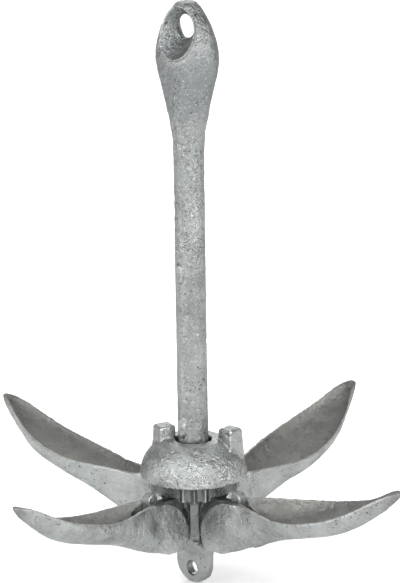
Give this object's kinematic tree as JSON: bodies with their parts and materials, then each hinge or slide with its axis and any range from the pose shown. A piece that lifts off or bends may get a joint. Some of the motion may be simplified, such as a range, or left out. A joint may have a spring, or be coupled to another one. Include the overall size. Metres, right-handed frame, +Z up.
{
  "type": "folding grapnel anchor",
  "caption": "Small-boat folding grapnel anchor: shank with rope eye, sliding locking collar, crown with trip eye and hinged spoon flukes.",
  "frame": {"origin": "on the shank's axis, at the lowest point of the trip eye's tab", "axes": "+Z up the shank towards the rope eye, flukes along +X, +Y, -X and -Y, both eyes bored along Y"},
  "size_m": [0.349, 0.349, 0.4],
  "materials": {
    "shank_zinc": "hot-dip galvanised casting, satin grey with fine pits",
    "collar_zinc": "hot-dip galvanised casting, bumpy, with bright worn spots",
    "crown_zinc": "hot-dip galvanised casting, dull grey",
    "fluke_zinc": "hot-dip galvanised casting, light outside, darker warm grey inside the spoon",
    "pin_steel": "galvanised steel pin, ground flush"
  },
  "bodies": {
    "shank_and_crown": {"shank": "shank_zinc", "crown": "crown_zinc", "crown_pin": "pin_steel", "fluke_pin_right": "pin_steel", "fluke_pin_back": "pin_steel", "fluke_pin_left": "pin_steel", "fluke_pin_front": "pin_steel"},
    "collar": {"locking_collar": "collar_zinc"},
    "fluke_right_body": {"fluke_right": "fluke_zinc"},
    "fluke_back_body": {"fluke_back": "fluke_zinc"},
    "fluke_left_body": {"fluke_left": "fluke_zinc"},
    "fluke_front_body": {"fluke_front": "fluke_zinc"}
  },
  "joints": [
    {"name": "collar_slide", "type": "slide", "parent": "shank_and_crown", "child": "collar", "axis": [0, 0, 1], "range_m": [0, 0.206]},
    {"name": "fluke_right_hinge", "type": "hinge", "parent": "shank_and_crown", "child": "fluke_right_body", "pos_m": [0.034, 0, 0.0495], "axis": [0, -1, 0], "range_deg": [0, 79]},
    {"name": "fluke_back_hinge", "type": "hinge", "parent": "shank_and_crown", "child": "fluke_back_body", "pos_m": [0, 0.034, 0.0495], "axis": [1, 0, 0], "range_deg": [0, 79]},
    {"name": "fluke_left_hinge", "type": "hinge", "parent": "shank_and_crown", "child": "fluke_left_body", "pos_m": [-0.034, 0, 0.0495], "axis": [0, 1, 0], "range_deg": [0, 79]},
    {"name": "fluke_front_hinge", "type": "hinge", "parent": "shank_and_crown", "child": "fluke_front_body", "pos_m": [0, -0.034, 0.0495], "axis": [-1, 0, 0], "range_deg": [0, 79]}
  ],
  "couplings": [
    {"joint": "fluke_right_hinge", "follows": "collar_slide", "rad_per_m": 6.69},
    {"joint": "fluke_back_hinge", "follows": "collar_slide", "rad_per_m": 6.69},
    {"joint": "fluke_left_hinge", "follows": "collar_slide", "rad_per_m": 6.69},
    {"joint": "fluke_front_hinge", "follows": "collar_slide", "rad_per_m": 6.69}
  ]
}
